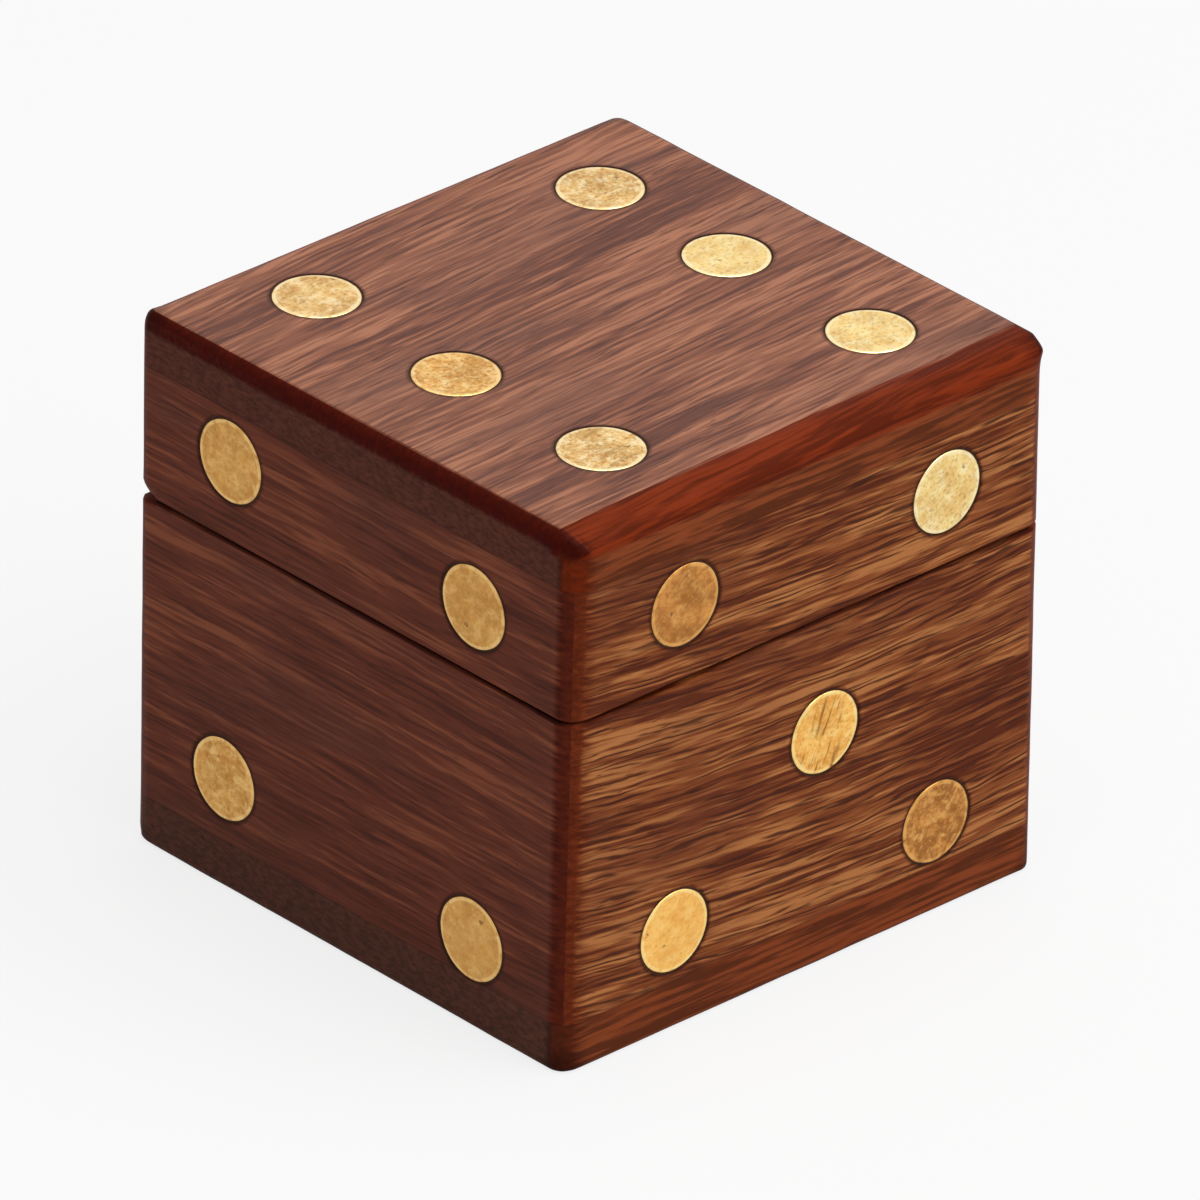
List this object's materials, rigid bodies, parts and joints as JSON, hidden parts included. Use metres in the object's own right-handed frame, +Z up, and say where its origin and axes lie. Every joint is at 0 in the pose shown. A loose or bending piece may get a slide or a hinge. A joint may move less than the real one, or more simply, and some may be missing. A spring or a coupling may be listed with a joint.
{
  "type": "dice box with hinged lid",
  "caption": "Small wooden box shaped like a die, with flush brass pips and a lid that swings up on brass butt hinges in the back seam.",
  "frame": {"origin": "centre of the underside of the base, between the four base walls", "axes": "+X to the box's right-hand side, +Y to its back where the hinges are, +Z up; the front with five pips faces -Y"},
  "size_m": [0.0636, 0.0632, 0.0591],
  "materials": {
    "wood_walls": "satin-lacquered rosewood, long grain running round the walls",
    "wood_top": "satin-lacquered rosewood, paler pink-brown long grain along X",
    "wood_bottom": "satin-lacquered rosewood, red-brown long grain along X",
    "pip_brass": "brushed and lightly tarnished brass, flush with the wood",
    "hinge_brass": "small stamped brass hinge, dull"
  },
  "bodies": {
    "base": {"base_bottom": "wood_bottom", "base_front_wall": "wood_walls", "base_back_wall": "wood_walls", "base_left_wall": "wood_walls", "base_right_wall": "wood_walls", "front_pip_3": "pip_brass", "front_pip_4": "pip_brass", "front_pip_5": "pip_brass", "left_pip_3": "pip_brass", "left_pip_4": "pip_brass", "right_pip_2": "pip_brass", "right_pip_3": "pip_brass", "back_pip_2": "pip_brass", "bottom_pip_1": "pip_brass", "left_hinge_base_leaf": "hinge_brass", "right_hinge_base_leaf": "hinge_brass", "left_hinge_pin": "hinge_brass", "right_hinge_pin": "hinge_brass", "base_hinge_nails": "hinge_brass"},
    "lid": {"lid_top": "wood_top", "lid_front_wall": "wood_walls", "lid_back_wall": "wood_walls", "lid_left_wall": "wood_walls", "lid_right_wall": "wood_walls", "top_pip_1": "pip_brass", "top_pip_2": "pip_brass", "top_pip_3": "pip_brass", "top_pip_4": "pip_brass", "top_pip_5": "pip_brass", "top_pip_6": "pip_brass", "front_pip_1": "pip_brass", "front_pip_2": "pip_brass", "left_pip_1": "pip_brass", "left_pip_2": "pip_brass", "right_pip_1": "pip_brass", "back_pip_1": "pip_brass", "left_hinge_lid_leaf": "hinge_brass", "right_hinge_lid_leaf": "hinge_brass", "lid_hinge_nails": "hinge_brass"}
  },
  "joints": [
    {"name": "lid_hinge", "type": "hinge", "parent": "base", "child": "lid", "pos_m": [0, 0.03065, 0.0388], "axis": [-1, 0, 0], "range_deg": [0, 105]}
  ]
}
